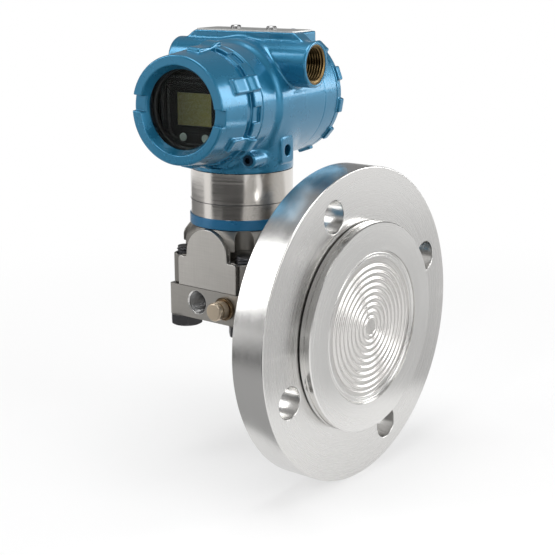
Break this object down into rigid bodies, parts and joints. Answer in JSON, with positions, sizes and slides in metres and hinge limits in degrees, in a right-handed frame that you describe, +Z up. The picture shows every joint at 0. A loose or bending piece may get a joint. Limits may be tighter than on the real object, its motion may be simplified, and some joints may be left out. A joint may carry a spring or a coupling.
{
  "type": "pressure transmitter",
  "caption": "Flange-mounted level transmitter: round electronics housing with a window on a neck, beside a flanged seal with a wavy metal diaphragm.",
  "frame": {"origin": "centre of the bolt circle on the mounting flange's front face", "axes": "+X out of the flange towards the vessel, +Z up along the neck, the window faces about -Y"},
  "size_m": [0.1522, 0.1906, 0.2677],
  "materials": {
    "housing_paint": "gloss",
    "ring_paint": "gloss",
    "seal_steel": "satin",
    "block_steel": "satin",
    "cast_grey": "satin",
    "bolt_steel": "satin",
    "sleeve_steel": "gloss",
    "valve_metal": "satin",
    "foil_steel": "gloss",
    "window_glass": "gloss",
    "black_rubber": "matte",
    "case_plastic": "satin",
    "lcd": "gloss",
    "button_plastic": "satin",
    "terminal_plastic": "satin",
    "screw_brass": "satin",
    "plate_aluminium": "satin",
    "board_green": "satin"
  },
  "bodies": {
    "process_body": {"seal_body": "seal_steel", "diaphragm": "foil_steel", "weld_ring": "seal_steel", "seal_hub": "seal_steel", "process_block": "block_steel", "process_seal_rings": "black_rubber", "vent_valve_seat": "block_steel", "flange_bolts": "bolt_steel", "sensor_module": "cast_grey", "sensor_capsule": "seal_steel", "module_ring": "ring_paint", "neck_sleeve": "sleeve_steel", "label_band": "sleeve_steel", "sensor_board": "board_green"},
    "loose_flange": {"mounting_flange": "seal_steel"},
    "vent_stem": {"vent_valve_stem": "valve_metal"},
    "housing_body": {"housing": "housing_paint", "name_plate_screws": "bolt_steel", "cover_lock_screws": "bolt_steel", "housing_set_screw": "bolt_steel", "conduit_plug": "screw_brass", "electronics_module": "case_plastic", "display_case": "case_plastic", "display_bezel": "case_plastic", "lcd_panel": "lcd", "terminal_block": "terminal_plastic", "terminal_screws": "screw_brass", "name_plate": "plate_aluminium"},
    "front_seal_body": {"front_cover_seal": "black_rubber"},
    "front_cover_body": {"front_cover": "housing_paint", "window_glass": "window_glass", "window_retainer": "bolt_steel"},
    "rear_seal_body": {"rear_cover_seal": "black_rubber"},
    "rear_cover_body": {"rear_cover": "housing_paint"},
    "left_button": {"display_button_left": "button_plastic"},
    "right_button": {"display_button_right": "button_plastic"}
  },
  "joints": [
    {"name": "flange_turn", "type": "hinge", "parent": "process_body", "child": "loose_flange", "pos_m": [0, 0, 0], "axis": [1, 0, 0], "continuous": true},
    {"name": "vent_stem_turn", "type": "hinge", "parent": "process_body", "child": "vent_stem", "pos_m": [-0.0773, -0.035, 0.0046], "axis": [0, -1, 0], "range_deg": [0, 720]},
    {"name": "housing_turn", "type": "hinge", "parent": "process_body", "child": "housing_body", "pos_m": [-0.0921, 0, 0], "axis": [0, 0, 1], "range_deg": [-186.7, 173.3]},
    {"name": "front_cover_travel", "type": "slide", "parent": "housing_body", "child": "front_seal_body", "axis": [0.1167, -0.9932, 0], "range_m": [0, 0.01]},
    {"name": "front_cover_turn", "type": "hinge", "parent": "front_seal_body", "child": "front_cover_body", "pos_m": [-0.08627, -0.04966, 0.12825], "axis": [0.1167, -0.9932, 0], "range_deg": [0, 1800]},
    {"name": "rear_cover_travel", "type": "slide", "parent": "housing_body", "child": "rear_seal_body", "axis": [-0.1167, 0.9932, 0], "range_m": [0, 0.01]},
    {"name": "rear_cover_turn", "type": "hinge", "parent": "rear_seal_body", "child": "rear_cover_body", "pos_m": [-0.0991, 0.05959, 0.12825], "axis": [-0.1167, 0.9932, 0], "range_deg": [0, 1800]},
    {"name": "left_button_press", "type": "slide", "parent": "housing_body", "child": "left_button", "axis": [-0.1167, 0.9932, 0], "range_m": [0, 0.0006], "stiffness_N_per_m": 600, "springref_m": -0.0005},
    {"name": "right_button_press", "type": "slide", "parent": "housing_body", "child": "right_button", "axis": [-0.1167, 0.9932, 0], "range_m": [0, 0.0006], "stiffness_N_per_m": 600, "springref_m": -0.0005}
  ],
  "couplings": [
    {"joint": "front_cover_travel", "follows": "front_cover_turn", "m_per_rad": 0.00031831},
    {"joint": "rear_cover_travel", "follows": "rear_cover_turn", "m_per_rad": 0.00031831}
  ]
}
